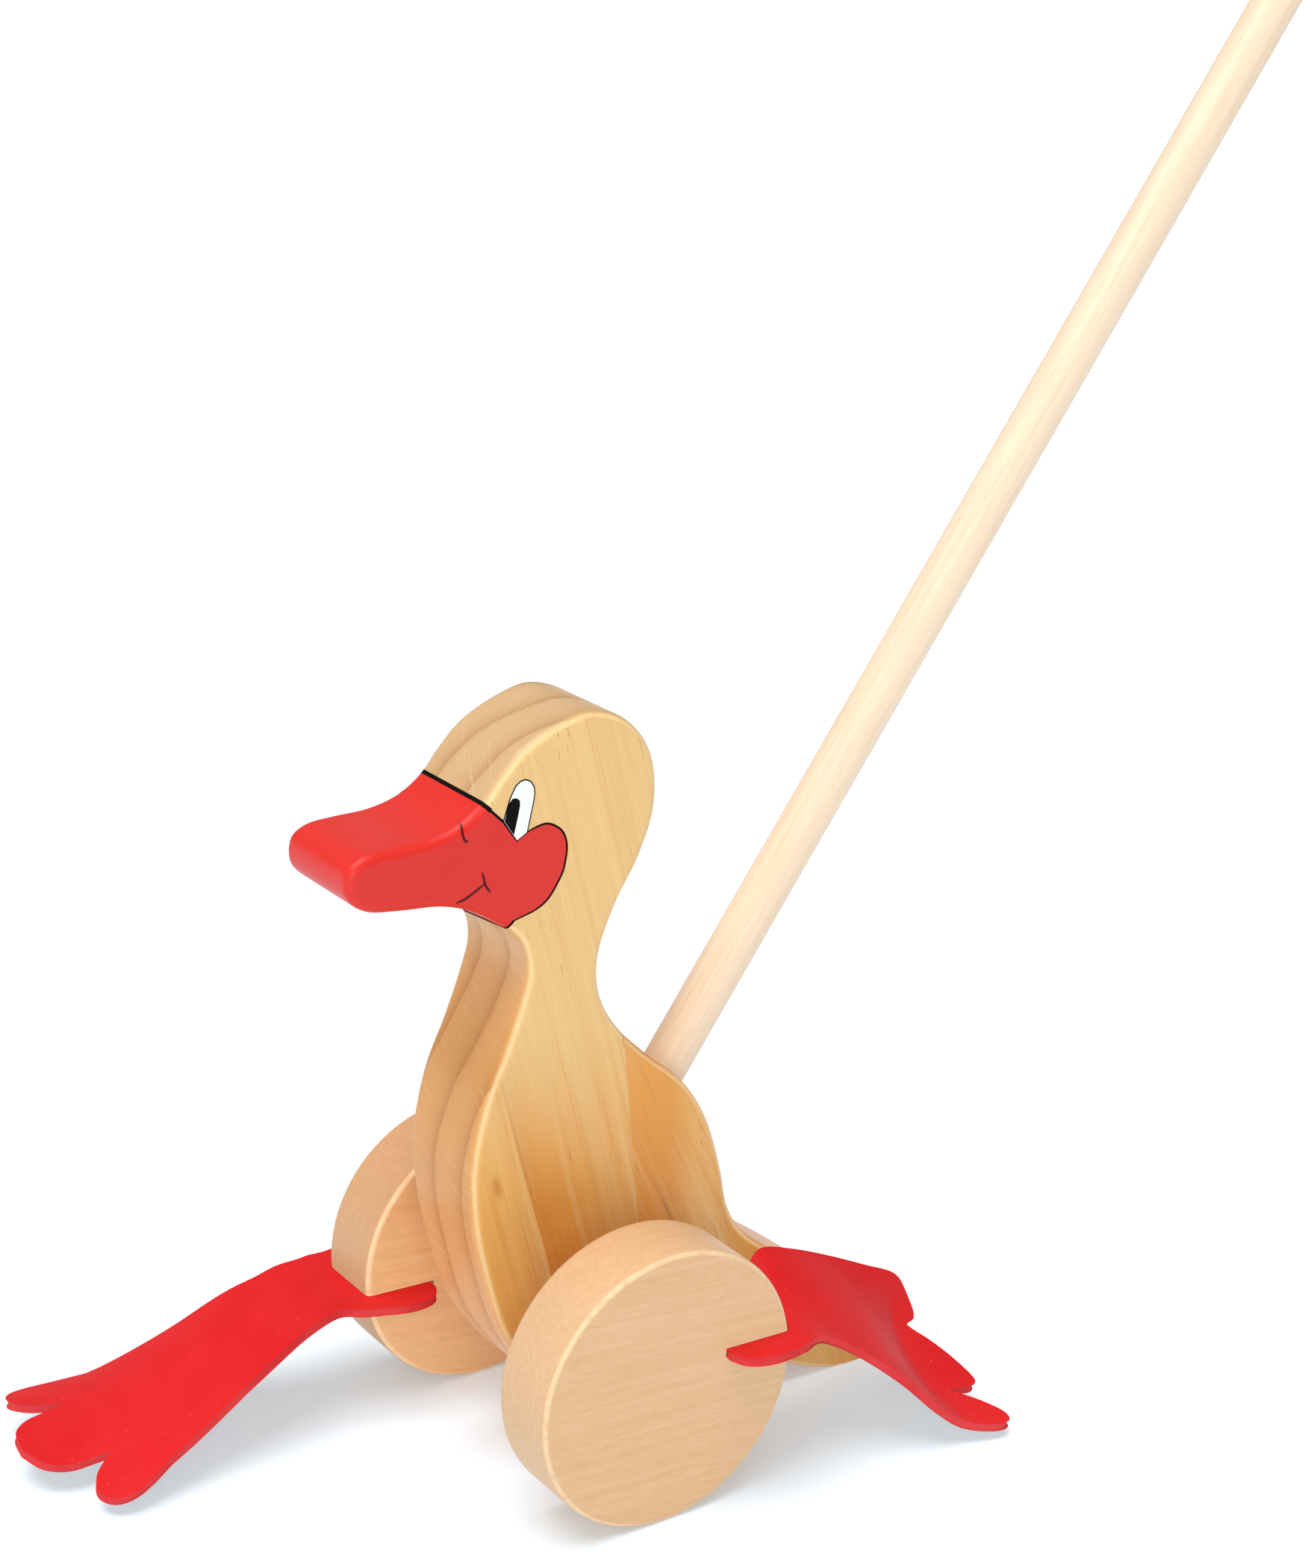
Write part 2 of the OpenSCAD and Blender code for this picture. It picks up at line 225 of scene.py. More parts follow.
def edge_rings(half, radius, steps):
    """How far each ring is drawn in, and its place across the board from the far face to the near one."""
    quarter = []
    for i in range(steps + 1):
        a = math.pi / 2 * i / steps
        quarter.append((radius * (1 - math.cos(a)), half - radius * (1 - math.sin(a))))
    return [(inset, -y) for inset, y in reversed(quarter)] + quarter


def board(edge_at, half, radius, steps, split=None):
    """Points, faces and material numbers of a sawn board with rounded edges.

    edge_at(y) gives the edge's points with their outward directions. split gives the two places of a paint
    border on the edge, and a function for its inner points on either face."""
    rings = edge_rings(half, radius, steps)
    verts = []
    for inset, y in rings:
        for p, out in edge_at(y):
            q = p - inset * out
            verts.append((q[0], y, q[1]))
    n = len(edge_at(0.0))
    faces, indices = [], []
    for k in range(len(rings) - 1):
        for i in range(n):
            j = (i + 1) % n
            faces.append((k * n + i, k * n + j, (k + 1) * n + j, (k + 1) * n + i))
            indices.append(1 if split and split[0] <= i < split[1] else 0)
    for k, y in ((0, -half), (len(rings) - 1, half)):
        ring = [k * n + i for i in range(n)]
        if not split:
            faces.append(ring)
            indices.append(0)
            continue
        first, last, inner_points = split
        border = inner_points(y)
        extra = list(range(len(verts), len(verts) + len(border)))
        verts.extend((p[0], y, p[1]) for p in border)
        faces.append(ring[first:last + 1] + extra[::-1])
        indices.append(1)
        faces.append(ring[last:] + ring[:first + 1] + extra)
        indices.append(0)
    return verts, faces, indices


# Materials


class Graph:
    """A material's node tree, with short ways to add to it."""

    def __init__(self, name):
        self.material = bpy.data.materials.new(name)
        self.material.use_nodes = True
        self.tree = self.material.node_tree
        self.shader = self.tree.nodes["Principled BSDF"]

    def put(self, socket, value):
        if isinstance(value, bpy.types.NodeSocket):
            self.tree.links.new(value, socket)
        else:
            socket.default_value = value

    def node(self, kind, inputs=None, **settings):
        node = self.tree.nodes.new(kind)
        for key, value in settings.items():
            setattr(node, key, value)
        for key, value in (inputs or {}).items():
            self.put(node.inputs[key], value)
        return node

    def math(self, op, a, b=0.0, c=0.0):
        return self.node("ShaderNodeMath", {0: a, 1: b, 2: c}, operation=op).outputs[0]

    def times(self, a, b):
        return self.math("MULTIPLY", a, b)

    def scaled(self, value, by, plus):
        return self.math("MULTIPLY_ADD", value, by, plus)

    def vec(self, op, a, b=(0.0, 0.0, 0.0)):
        node = self.node("ShaderNodeVectorMath", {0: a, 1: b}, operation=op)
        return node.outputs["Value" if op == "LENGTH" else "Vector"]

    def step(self, value, low, high):
        """0 below low, 1 above high and smooth between them."""
        inputs = {"Value": value, "From Min": low, "From Max": high}
        return self.node("ShaderNodeMapRange", inputs, interpolation_type="SMOOTHSTEP").outputs[0]

    def noise(self, vector, detail=3.0, rough=0.55, scale=1.0):
        inputs = {"Vector": vector, "Scale": scale, "Detail": detail, "Roughness": rough}
        return self.node("ShaderNodeTexNoise", inputs).outputs[0]

    def ramp(self, value, stops):
        node = self.node("ShaderNodeValToRGB", {0: value})
        elements = node.color_ramp.elements
        while len(elements) < len(stops):
            elements.new(0.5)
        for element, (place, colour) in zip(elements, stops):
            element.position = place
            element.color = (*colour, 1.0)
        return node.outputs[0]

    def mix(self, share, a, b, blend="MIX"):
        node = self.node("ShaderNodeMix", data_type="RGBA", blend_type=blend)
        self.put(node.inputs[0], share)
        self.put(node.inputs[6], a if isinstance(a, bpy.types.NodeSocket) else (*a, 1.0))
        self.put(node.inputs[7], b if isinstance(b, bpy.types.NodeSocket) else (*b, 1.0))
        return node.outputs[2]

    def bump(self, height, strength, distance):
        inputs = {"Strength": strength, "Distance": distance, "Height": height}
        self.put(self.shader.inputs["Normal"], self.node("ShaderNodeBump", inputs).outputs[0])

    def finish(self, **values):
        """Sets the shader's sockets, named in small letters."""
        for key, value in values.items():
            self.put(self.shader.inputs[key.replace("_", " ").title().replace("Ior", "IOR")], value)
        return self.material


def millimetres(g):
    """Object coordinates in millimetres."""
    place = g.node("ShaderNodeTexCoord").outputs["Object"]
    return g.vec("MULTIPLY", place, (1 / MM, 1 / MM, 1 / MM))


def grain_frame(g, lean):
    """Object coordinates in millimetres, turned so that the grain runs along the third axis."""
    inputs = {"Vector": millimetres(g), "Rotation": (0.0, -lean, 0.0)}
    return g.node("ShaderNodeMapping", inputs, vector_type="POINT").outputs[0]


def grain(g, place, across, along, shift=(0.0, 0.0, 0.0), detail=3.0, rough=0.55):
    """Noise with a pattern of the given sizes in millimetres across and along the grain."""
    place = g.vec("MULTIPLY", place, (1 / across, 1 / across, 1 / along))
    return g.noise(g.vec("ADD", place, shift), detail, rough)


def facing(g):
    """How far the surface faces along Y: 1 on a board's flat faces, 0 on its edges."""
    normal = g.node("ShaderNodeTexCoord").outputs["Normal"]
    return g.math("ABSOLUTE", g.node("ShaderNodeSeparateXYZ", {0: normal}).outputs[1])


PINE_PALE = (0.8, 0.52, 0.21)
PINE_GOLD = (0.78, 0.43, 0.13)
PINE_ORANGE = (0.72, 0.3, 0.05)
PINE_BROWN = (0.6, 0.225, 0.038)
PINE_CREAM = (0.86, 0.6, 0.27)
VEIN_BROWN = (0.46, 0.22, 0.06)
FLECK_BROWN = (0.3, 0.13, 0.04)
KNOT_BROWN = (0.54, 0.2, 0.035)
FIBRE_BROWN = (0.55, 0.27, 0.07)
PORE_BROWN = (0.6, 0.3, 0.09)
SCRATCH_PALE = (0.93, 0.7, 0.44)
# Paler tone of the rounded edges: wear and a painted highlight
HIGHLIGHT_AND_WEAR_PALE = (0.93, 0.7, 0.38)
# Tones across one growth ring, from its dark inner border outwards
FRONT_RINGS = [
    (0.0, PINE_BROWN), (0.02, (0.66, 0.26, 0.045)), (0.13, PINE_ORANGE), (0.27, (0.75, 0.36, 0.085)),
    (0.46, PINE_GOLD), (0.7, (0.79, 0.4, 0.1)), (0.84, (0.8, 0.45, 0.135)),
    (0.985, (0.83, 0.55, 0.23)), (1.0, PINE_ORANGE),
]
REAR_RINGS = [
    (0.0, (0.78, 0.3, 0.03)), (0.22, (0.75, 0.31, 0.04)), (0.45, (0.79, 0.42, 0.12)),
    (0.6, (0.79, 0.43, 0.13)), (0.8, (0.74, 0.34, 0.07)), (1.0, (0.78, 0.3, 0.03)),
]
# Tones of the sawn edges by height, as a share of SAWN_TOP, and the tint of the rings that cross them
SAWN_TOP = 200
SAWN_TONES = [
    (0.08, (0.82, 0.46, 0.27)), (0.24, (0.8, 0.37, 0.145)), (0.4, (0.67, 0.305, 0.085)),
    (0.62, (0.73, 0.36, 0.11)), (0.8, (0.6, 0.39, 0.2)),
]
SAWN_RINGS = [
    (0.0, (0.7, 0.54, 0.36)), (0.05, (0.77, 0.65, 0.48)), (0.22, (0.91, 0.86, 0.75)),
    (0.5, (1.0, 0.98, 0.96)), (0.85, (1.0, 1.0, 1.0)), (1.0, (0.95, 0.9, 0.84)),
]
# Heights between which the wood grows deeper in colour and takes a wash of orange
DEEP_FROM, DEEP_TO = 125, 70
WASH_FROM, WASH_TO = 75, 25
RING_SWAY = 13.0
RING_FRAY = 3.0
KNOT_SCALE = (1 / 1.3, 0.02, 1 / 3.4)


def pine(name, lean, ring_u, ring_w, start_u, skew, stops, low_share, wash, veins, seed, knot=None):
    """Lacquered pine: slanted growth rings, streaks, veins and flecks along the grain, and sawn edges.

    A ring is ring_u wide on the face and ring_w through the board. The rings start at start_u and stand askew
    to the grain. low_share is how much of their tones shows high up."""
    g = Graph(name)
    place = grain_frame(g, lean)
    sway = grain(g, place, 24, 90, (seed, 0, 0), 2.0)
    fray = grain(g, place, 1.3, 60, (seed, 0, seed), 2.0, 0.6)
    u, w, along = g.node("ShaderNodeSeparateXYZ", {0: place}).outputs
    u = g.math("ADD", u, g.times(g.math("SUBTRACT", sway, 0.5), RING_SWAY))
    u = g.math("ADD", u, g.times(g.math("SUBTRACT", fray, 0.5), RING_FRAY))
    u = g.scaled(along, skew, u)
    # Each growth ring starts dark at its inner border and fades outwards
    on_the_face = g.math("DIVIDE", g.math("SUBTRACT", start_u, u), ring_u)
    through = g.math("DIVIDE", g.math("SUBTRACT", HALF_T, w), ring_w)
    ring = g.math("FRACT", g.math("ADD", on_the_face, through))
    broad = grain(g, place, 8, 240, (0, seed, 0), 3.0, 0.6)
    streak = grain(g, place, 2.0, 120, (seed, seed, 0), 3.0, 0.65)
    fibre = grain(g, place, 0.35, 14, (seed, 0, 0), 2.0, 0.6)
    pore = grain(g, place, 0.3, 1.1, (0, seed, seed), 2.0, 0.6)
    # The lower part of the board is deeper in colour
    position = g.node("ShaderNodeTexCoord").outputs["Object"]
    height = g.node("ShaderNodeSeparateXYZ", {0: position}).outputs[2]
    low = g.step(height, DEEP_FROM * MM, DEEP_TO * MM)
    depth = g.scaled(low, 1 - low_share, low_share)
    colour = g.mix(depth, PINE_PALE, g.ramp(ring, stops))
    bottom = g.times(g.step(height, WASH_FROM * MM, WASH_TO * MM), wash)
    colour = g.mix(g.times(bottom, g.step(broad, 0.25, 0.6)), colour, PINE_ORANGE)
    share = g.times(g.step(broad, 0.5, 0.74), g.scaled(low, 0.35, 0.2))
    colour = g.mix(share, colour, PINE_ORANGE)
    share = g.times(g.step(streak, 0.52, 0.74), g.scaled(low, 0.3, 0.36))
    colour = g.mix(share, colour, PINE_ORANGE)
    colour = g.mix(g.times(g.step(streak, 0.48, 0.25), 0.42), colour, PINE_CREAM)
    # Thin brown veins, mostly low down
    vein = grain(g, place, 0.9, 55, (seed, 0, 0), 2.0, 0.6)
    vein = g.times(g.step(vein, 0.55, 0.72), g.step(broad, 0.4, 0.6))
    vein = g.times(vein, g.scaled(low, 0.75, 0.25))
    colour = g.mix(g.times(vein, veins), colour, VEIN_BROWN)
    # A few short dark flecks along the grain
    fleck = grain(g, place, 0.55, 10, (0, seed, seed), 1.0, 0.5)
    zone = g.step(grain(g, place, 7, 45, (seed, seed, seed), 1.0), 0.52, 0.62)
    fleck = g.times(g.step(fleck, 0.66, 0.74), zone)
    colour = g.mix(g.times(fleck, 0.6), colour, FLECK_BROWN)
    if knot:
        spot = g.vec("LENGTH", g.vec("MULTIPLY", g.vec("SUBTRACT", place, knot), KNOT_SCALE))
        colour = g.mix(g.times(g.step(spot, 1.5, 0.1), 0.75), colour, KNOT_BROWN)
    # Sawn edges: orange half way up, pinker below, with the rings as soft wavy lines
    side = facing(g)
    edge = g.step(side, 0.9, 0.3)
    band = g.ramp(g.math("DIVIDE", height, SAWN_TOP * MM), SAWN_TONES)
    band = g.mix(0.85, band, g.ramp(ring, SAWN_RINGS), "MULTIPLY")
    # The saw left slanted scratches, in patches
    slant = g.scaled(w, 0.4, along)
    across = {0: 0.0, 1: g.times(w, 0.05), 2: g.times(slant, 1.4)}
    scratch = g.noise(g.node("ShaderNodeCombineXYZ", across).outputs[0], 3.0, 0.7)
    patch = g.step(grain(g, place, 9, 25, (0, 0, seed), 1.0), 0.35, 0.65)
    scratch = g.times(g.step(scratch, 0.5, 0.75), patch)
    band = g.mix(g.times(scratch, 0.32), band, SCRATCH_PALE)
    colour = g.mix(g.times(edge, 0.95), colour, band)
    # The rounded edges are painted paler: partly wear, partly a painted highlight along the roundover
    wear_and_highlight = g.times(g.step(side, 0.58, 0.74), g.step(side, 0.955, 0.87))
    colour = g.mix(g.times(wear_and_highlight, 0.45), colour, HIGHLIGHT_AND_WEAR_PALE)
    colour = g.mix(g.times(g.step(fibre, 0.4, 0.75), 0.13), colour, FIBRE_BROWN)
    colour = g.mix(g.times(g.step(pore, 0.58, 0.75), 0.12), colour, PORE_BROWN)
    g.bump(g.math("ADD", fibre, g.times(scratch, edge)), 0.16, 0.12 * MM)
    return g.finish(
        base_color=colour, roughness=g.scaled(fibre, 0.16, 0.36), specular_ior_level=0.4,
        coat_weight=0.1, coat_roughness=0.2,
    )


# Paler tone of the corners: wear and a painted highlight
CORNER_HIGHLIGHT_AND_WEAR_PALE = (0.97, 0.77, 0.5)


def pale_wood(name, colours, lean, across, along, seed, wear_and_highlight=0.0, rim_shade_tint=(1.0, 1.0, 1.0)):
    """Beech or birch: fine even grain with faint bands and short dark rays, and corners painted paler, as
    wear and as a painted highlight.
    """
    g = Graph(name)
    place = grain_frame(g, lean)
    sway = grain(g, place, 40, 160, (seed, 0, 0), 2.0)
    bend = g.node("ShaderNodeCombineXYZ", {0: g.times(sway, 9.0)}).outputs[0]
    bent = g.vec("ADD", place, bend)
    band = grain(g, bent, across * 4, along * 9, (0, seed, 0), 2.0, 0.55)
    line = grain(g, bent, across, along, (seed, 0, 0), 3.0, 0.65)
    ray = grain(g, bent, across * 0.5, along * 0.35, (0, 0, seed), 1.0, 0.5)
    dark, middle, light = colours
    tone = g.scaled(g.math("SUBTRACT", line, 0.5), 0.7, g.scaled(band, 0.5, 0.25))
    colour = g.ramp(tone, [(0.25, dark), (0.5, middle), (0.75, light)])
    colour = g.mix(g.times(g.step(ray, 0.62, 0.72), 0.22), colour, dark)
    # The rim takes its own tint, strongly darker on the right wheel: painted shade for how light falls on the
    # rim
    side = facing(g)
    colour = g.mix(g.step(side, 0.6, 0.2), colour, rim_shade_tint, "MULTIPLY")
    # Paler roundover between face and rim, in chips: partly wear, partly a painted highlight
    corner = g.times(g.step(side, 0.35, 0.6), g.step(side, 0.985, 0.9))
    chips = g.step(grain(g, place, 3.0, 3.0, (seed, 0, 0), 2.0, 0.6), 0.15, 0.6)
    colour = g.mix(g.times(g.times(corner, chips), wear_and_highlight), colour, CORNER_HIGHLIGHT_AND_WEAR_PALE)
    g.bump(g.math("ADD", line, ray), 0.12, 0.1 * MM)
    return g.finish(
        base_color=colour, roughness=g.scaled(line, 0.2, 0.36), specular_ior_level=0.4,
        coat_weight=0.08, coat_roughness=0.25,
    )


BRUSH_LEAN = math.radians(15)


def paint(name, colour, dark, rough, shine=0.3):
    """Brushed satin paint over wood: a little unevenness in colour, gloss and height."""
    g = Graph(name)
    place = grain_frame(g, BRUSH_LEAN)
    cloud = grain(g, place, 14, 30)
    fibre = grain(g, place, 0.5, 12, detail=2.0)
    tint = g.mix(g.times(g.step(cloud, 0.35, 0.7), 0.35), colour, dark)
    gloss = g.scaled(cloud, 0.14, rough - 0.07)
    g.bump(fibre, 0.12, 0.1 * MM)
    return g.finish(base_color=tint, roughness=gloss, specular_ior_level=shine)


SPECK_PALE = (0.85, 0.2, 0.19)


def rubber(name, dark, light, rough):
    """Soft red sheet rubber: matt skin with a faint mottle and tiny pale specks."""
    g = Graph(name)
    place = millimetres(g)
    cloud = g.noise(place, 3.0, 0.5, 0.05)
    skin_grain = g.noise(place, 3.0, 0.6, 1.6)
    speck = g.noise(place, 1.0, 0.4, 1.3)
    colour = g.mix(g.step(cloud, 0.3, 0.7), dark, light)
    colour = g.mix(g.times(g.step(speck, 0.74, 0.78), 0.3), colour, SPECK_PALE)
    gloss = g.scaled(skin_grain, 0.16, rough - 0.08)
    g.bump(skin_grain, 0.08, 0.1 * MM)
    return g.finish(base_color=colour, roughness=gloss, specular_ior_level=0.1)


front_wood = pine(
    "pine_front", lean=math.radians(15.8), ring_u=45.0, ring_w=13.0, start_u=-3.5, skew=0.0,
    stops=FRONT_RINGS, low_share=0.06, wash=0.3, veins=0.42, seed=3.1, knot=(3.8, 14.75, 84.9),
)
rear_wood = pine(
    "pine_rear", lean=math.radians(26.0), ring_u=34.0, ring_w=12.0, start_u=-26.4, skew=0.37,
    stops=REAR_RINGS, low_share=0.85, wash=0.25, veins=0.62, seed=7.7,
)
BEECH_TONES = ((0.66, 0.37, 0.175), (0.73, 0.44, 0.225), (0.78, 0.495, 0.27))
# The right wheel's beech is painted brighter and warmer than the left's: painted light on its inner face,
# which lies in the body's shade
LIT_BEECH_TONES = ((0.83, 0.44, 0.19), (0.9, 0.51, 0.24), (0.95, 0.57, 0.29))
BIRCH_TONES = ((0.8, 0.56, 0.37), (0.865, 0.655, 0.46), (0.905, 0.725, 0.545))
left_beech = pale_wood(
    "beech_left", BEECH_TONES, lean=math.radians(86), across=0.35, along=5.0, seed=2.3,
    wear_and_highlight=0.4, rim_shade_tint=(0.94, 0.97, 1.01),
)
right_beech = pale_wood(
    "beech_right", LIT_BEECH_TONES, lean=math.radians(83), across=0.35, along=5.0, seed=6.1,
    wear_and_highlight=0.4, rim_shade_tint=(0.7, 0.67, 0.68),
)
stick_wood = pale_wood("birch", BIRCH_TONES, lean=math.radians(-35), across=1.2, along=30.0, seed=5.2)
bill_red = paint("bill_red", (0.68, 0.021, 0.012), (0.64, 0.017, 0.01), rough=0.4, shine=0.32)
eye_white = paint("eye_white", (0.9, 0.9, 0.9), (0.86, 0.86, 0.87), rough=0.4)
line_black = paint("line_black", (0.004, 0.003, 0.003), (0.006, 0.004, 0.004), rough=0.6, shine=0.06)
line_red = paint("line_red", (0.1, 0.004, 0.007), (0.08, 0.003, 0.005), rough=0.5, shine=0.15)
foot_rubber = rubber("red_rubber", (0.63, 0.011, 0.013), (0.67, 0.016, 0.018), rough=0.52)
cut_rubber = rubber("red_rubber_cut", (0.66, 0.03, 0.034), (0.74, 0.055, 0.058), rough=0.8)


# Body: two staves, with the red painted on the front one

# The red's border in X and Z above the floor, from the brow round the cheek to the throat
FACE_SHIFT = Vector((0.9, 0.5))
BROW = [(30.8, 177.8), (26.2, 172.7), (22.5, 167.5)]
CHEEK = [
    (22.5, 167.5), (19.9, 169.1), (17.8, 169.9), (15.6, 170.4), (13.8, 170.3), (11.9, 169.4), (10.2, 168.0),
    (9.1, 166.1), (8.6, 163.5), (8.9, 160.7), (9.6, 157.7), (11.0, 155.2), (12.8, 152.5), (15.2, 150.4),
    (19.1, 148.7), (22.2, 147.2), (24.6, 145.8),
]
# Where the border's ends meet the left and the right edge of the head
BROW_ENDS = ((31.2, 177.5), (32.3, 178.7))
THROAT_ENDS = ((24.6, 145.8), (18.7, 140.9))
RIM_STEPS = 20
RIM = [(outline(t), outward(t)) for t in stretch(*HEAD_SPAN, RIM_STEPS)]


def skin(point, sign):
    """The place on a face of the board or its rounded edge over a point in X and Z, and the way up there."""
    low = Vector(point) - AXLE_UP
    near, out = min(RIM, key=lambda e: (e[0] - low).length)
    share = min(1.0, max(0.0, 1 - (near - low).dot(out) / BODY_EDGE_R))
    across = math.sqrt(1 - share * share)
    y = sign * (HALF_T - BODY_EDGE_R * (1 - across))
    return Vector((point[0], y, point[1])), Vector((out[0] * share, sign * across, out[1] * share))


def on_face(points, steps=0):
    """Points of the painted face in their place, or a smooth line through them."""
    points = [Vector(p) + FACE_SHIFT for p in points]
    return open_curve(points, steps) if steps else points


OVER_STEPS = 4


def over_rim(t):
    """Points from a face's flat part out to the rim, at a place along the outline."""
    rim = outline(t) + AXLE_UP
    return [rim - BODY_EDGE_R * (1 - k / OVER_STEPS) * outward(t) for k in range(OVER_STEPS + 1)]


def axle_high(point):
    """A point of the painted face, measured from the axle."""
    return Vector(point) + FACE_SHIFT - AXLE_UP


BROW_T = [nearest_t(axle_high(p), *BROW_SPAN) for p in BROW_ENDS]
THROAT_T = [nearest_t(axle_high(p), *THROAT_SPAN) for p in THROAT_ENDS]
BODY_STEPS = 6
EDGE_STEPS = 5
NEAR_END = 0.04
NEAR_MARK = 0.09
LEAN_REACH = 1.6


def spread(first, last, marks=()):
    """Even places along the outline from first to last, with the marks among them."""
    places = [first]
    t = math.floor(first * BODY_STEPS + 1) / BODY_STEPS
    while t < last - NEAR_END:
        if t - first > NEAR_END and all(abs(t - m) > NEAR_MARK for m in marks):
            places.append(t)
        t += 1 / BODY_STEPS
    return sorted(places + list(marks) + [last])


def lean_over(t, y, ends):
    """Moves a place on the outline so that a border runs slantwise across the edge."""
    near = ends[0] + ROUND
    share = max(0.0, 1 - abs(t - near) / LEAN_REACH)
    return t + share * (ends[1] - ends[0]) * (HALF_T - y) / BODY_T


def glue_way(t, up):
    """The direction in which an edge point on the glue line is drawn in."""
    along = Vector((math.sin(GLUE_TILT), math.cos(GLUE_TILT))) * up
    return along / along.dot(outward(t))


def stave_edge(places, y, ups, borders=()):
    """The edge of a stave at y, in X and Z above the floor, with the way outwards at each point."""
    edge = []
    for i, t in enumerate(places):
        for ends in borders:
            t = lean_over(t, y, ends)
        way = outward(t)
        if i in (0, len(places) - 1):
            way = glue_way(t, ups[0 if i == 0 else 1])
        edge.append((outline(t) + AXLE_UP, way))
    return edge


def floor_cut(verts):
    """Lays the points under the floor on it."""
    return [(x, y, max(z, 0.0)) for x, y, z in verts]


BROW_STEPS = 4
CHEEK_STEPS = 3
BORDER_STEPS = 8
BORDER_ROOM = BODY_EDGE_R + 3.2
THROAT_REACH = 12.0


def border_at(y):
    """The inner points of the red's border on one face."""
    line = on_face(BROW, BROW_STEPS)[1:-1] + on_face(CHEEK, CHEEK_STEPS)[:-1]
    shift = Vector(THROAT_ENDS[1]) - Vector(THROAT_ENDS[0]) if y < 0 else Vector((0, 0))
    tip = on_face(CHEEK)[-1]
    line = [p + shift * max(0.0, 1 - (p - tip).length / THROAT_REACH) for p in line]
    rim = [outline(t) + AXLE_UP for t in stretch(*PAINT_SPAN, BORDER_STEPS)]
    return [p for p in line if min((p - q).length for q in rim) > BORDER_ROOM]


front_places = spread(BACK_T, BELLY_T + ROUND, [BROW_T[0] + ROUND, THROAT_T[0] + ROUND])
rear_places = spread(BELLY_T, BACK_T)
brow_at = front_places.index(BROW_T[0] + ROUND)
throat_at = front_places.index(THROAT_T[0] + ROUND)
verts, faces, painted = board(
    lambda y: stave_edge(front_places, y, (1, -1), (BROW_T, THROAT_T)),
    HALF_T, BODY_EDGE_R, EDGE_STEPS, (brow_at, throat_at, border_at),
)
join(
    "duck_front", floor_cut(verts), faces, [front_wood, bill_red], painted,
    "body", ["body_front_stave"],
)
verts, faces, painted = board(
    lambda y: stave_edge(rear_places, y, (-1, 1)), HALF_T, BODY_EDGE_R, EDGE_STEPS,
)
join("duck_rear", floor_cut(verts), faces, [rear_wood], painted, "body", ["body_rear_stave"])


# Painted lines and eyes: thin layers of paint that stand a little proud of the wood

PAINT_LIFT = 0.05
PAINT_SINK = 0.15
TAPER_ENDS = 0.35
TAPER_RISE = 6


class Layers:
    """Collects strips and patches of paint for one piece."""

    def __init__(self):
        self.verts, self.faces, self.indices = [], [], []

    def strip(self, points, ups, widths, index):
        """A strip along points in space, with the surface's direction at each."""
        start = len(self.verts)
        last = len(points) - 1
        for i, (p, up) in enumerate(zip(points, ups)):
            along = points[min(i + 1, last)] - points[max(i - 1, 0)]
            side = along.cross(up).normalized() * widths[i] / 2
            for v in (p - side - up * PAINT_SINK, p + side - up * PAINT_SINK,
                      p + side + up * PAINT_LIFT, p - side + up * PAINT_LIFT):
                self.verts.append(v)
        for i in range(last):
            a, b = start + 4 * i, start + 4 * i + 4
            for k in range(4):
                m = (k + 1) % 4
                self.faces.append((a + k, a + m, b + m, b + k))
                self.indices.append(index)
        for a in (start, start + 4 * last):
            self.faces.append((a, a + 1, a + 2, a + 3))
            self.indices.append(index)

    def patch(self, points, y, sign, lift, index):
        """A flat patch on a face of the board."""
        n, start = len(points), len(self.verts)
        for level in (y - sign * PAINT_SINK, y + sign * lift):
            self.verts.extend(Vector((p[0], level, p[1])) for p in points)
        self.faces.append(list(range(start, start + n)))
        self.faces.append(list(range(start + n, start + 2 * n)))
        for i in range(n):
            j = (i + 1) % n
            self.faces.append((start + i, start + j, start + n + j, start + n + i))
        self.indices.extend([index] * (n + 2))


def tapered(count, width):
    """Widths along a brush line that thins out at its ends."""
    widths = []
    for i in range(count):
        rise = min(1.0, TAPER_RISE * min(i, count - 1 - i) / (count - 1))
        widths.append(width * (TAPER_ENDS + (1 - TAPER_ENDS) * rise))
    return widths


def grown(points, by):
    """A closed outline moved outwards by a small distance."""
    pairs = list(zip(points, points[1:] + points[:1]))
    area = sum(p[0] * q[1] - q[0] * p[1] for p, q in pairs)
    out = []
    for i, (p, after) in enumerate(pairs):
        along = (after - points[i - 1]).normalized()
        out.append(p + Vector((along[1], -along[0])) * (by if area > 0 else -by))
    return out


EYE = [
    (24.6, 170.7), (26.1, 172.9), (25.3, 175.4), (24.4, 178.2), (23.0, 180.8), (21.8, 181.7), (20.5, 181.9),
    (19.2, 181.3), (18.3, 179.9), (18.1, 178.3), (18.4, 176.3), (19.0, 173.6), (19.9, 169.2), (22.5, 167.7),
]
PUPIL = [
    (24.6, 170.8), (26.0, 172.9), (25.4, 175.2), (24.8, 177.1), (24.0, 178.0), (22.9, 178.0), (22.0, 177.3),
    (21.9, 176.0), (22.4, 173.4), (23.4, 169.1),
]
NOSTRIL = [(36.7, 173.9), (37.1, 172.3), (36.9, 170.8), (36.2, 169.7), (35.6, 169.8)]
SMILE = [(38.6, 155.1), (36.2, 155.8), (33.9, 156.9), (31.0, 158.6)]
TICK = [(31.7, 161.4), (31.3, 160.0), (31.0, 158.6), (30.2, 157.2), (29.3, 156.1)]
EYE_LINE = 0.35
EYE_LINE_LIFT, EYE_LIFT, PUPIL_LIFT = 0.03, 0.06, 0.09
BROW_LINE = 0.62
CHEEK_LINE = 0.5
SMALL_LINE = 0.6
LINE_STEPS = 4
BLACK, WHITE, DARK_RED = range(3)


